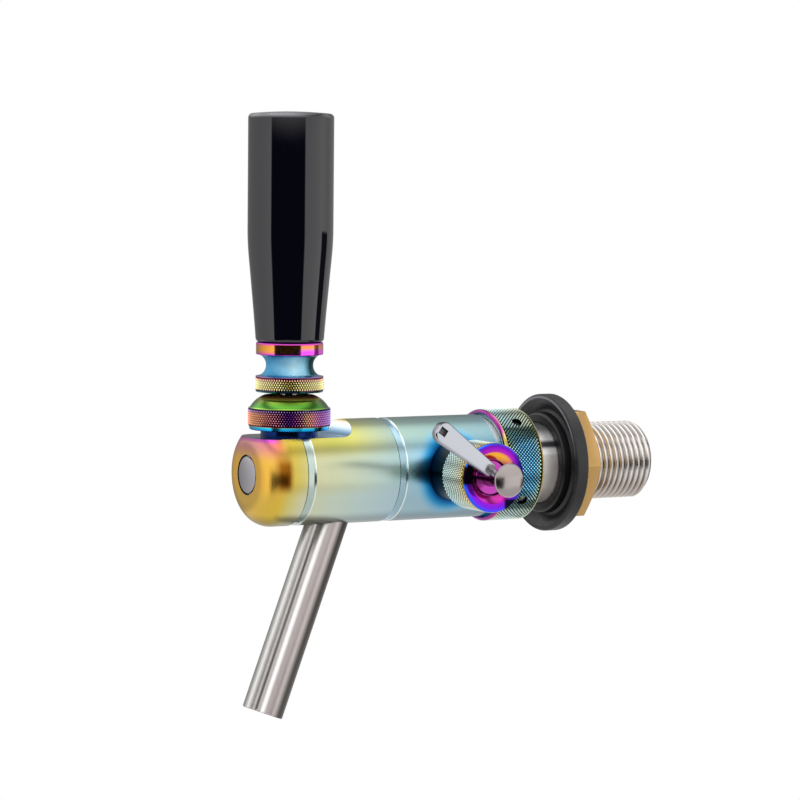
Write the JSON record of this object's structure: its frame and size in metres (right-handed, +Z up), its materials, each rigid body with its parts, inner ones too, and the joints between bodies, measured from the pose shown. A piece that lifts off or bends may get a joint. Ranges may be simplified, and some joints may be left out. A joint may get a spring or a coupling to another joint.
{
  "type": "flow control beer tap",
  "caption": "Flow control beer tap with an upright handle on a ball lever, a side lever that sets the flow, a slanting spout and a threaded shank with coupling nut, wall flange and wall nut.",
  "frame": {"origin": "on the shank's axis, at the rear face of the wall nut", "axes": "+Y back along the shank, away from the drinker; +X towards the side of the flow lever; +Z up, along the closed handle"},
  "size_m": [0.064, 0.1267, 0.1676],
  "materials": {
    "pvd_gold": "satin, heat-tint PVD, gold",
    "pvd_teal": "satin, heat-tint PVD, teal",
    "pvd_violet": "knurled, heat-tint PVD, violet to magenta",
    "pvd_blue": "satin, heat-tint PVD, light blue",
    "stainless": "satin",
    "polished": "polished stainless",
    "brass": "satin",
    "black_grip": "high gloss",
    "black_flange": "satin moulded",
    "rubber": "matte",
    "ptfe": "matte",
    "pom": "machined"
  },
  "bodies": {
    "tap_body": {"front_body": "pvd_gold", "nose_plug": "stainless", "plug_oring": "rubber", "spout": "stainless", "bonnet": "pvd_violet", "ball_seat": "ptfe", "ball_packing": "ptfe", "valve_seat": "stainless", "rear_body": "pvd_teal", "joint_oring": "rubber", "stem_bush": "pvd_violet", "bush_oring": "rubber", "side_nut": "pvd_violet", "retaining_ring": "stainless", "coupling_washer": "rubber", "coupling_nut": "pvd_teal", "shank": "polished", "wall_flange": "black_flange", "hex_nut": "brass"},
    "handle": {"ball_lever": "stainless", "handle_ferrule": "pvd_blue", "handle_insert": "brass", "handle_grip": "black_grip"},
    "valve": {"shuttle": "stainless", "valve_seal": "rubber", "valve_disc": "stainless", "valve_nut": "stainless"},
    "flow_control": {"flow_stem": "polished", "stem_orings": "rubber", "flow_lever": "polished"},
    "compensator_body": {"compensator": "pom"}
  },
  "joints": [
    {"name": "handle_tilt", "type": "hinge", "parent": "tap_body", "child": "handle", "pos_m": [0, -0.092, 0.0136], "axis": [1, 0, 0], "range_deg": [0, 24]},
    {"name": "valve_slide", "type": "slide", "parent": "tap_body", "child": "valve", "axis": [0, 1, 0], "range_m": [0, 0.00555]},
    {"name": "flow_turn", "type": "hinge", "parent": "tap_body", "child": "flow_control", "pos_m": [0, -0.0472, 0], "axis": [1, 0, 0], "range_deg": [-45, 45]},
    {"name": "compensator_slide", "type": "slide", "parent": "tap_body", "child": "compensator_body", "axis": [0, 1, 0], "range_m": [-0.00186, 0.00186]}
  ],
  "couplings": [
    {"joint": "valve_slide", "follows": "handle_tilt", "m_per_rad": 0.013206},
    {"joint": "compensator_slide", "follows": "flow_turn", "m_per_rad": -0.0023408}
  ]
}
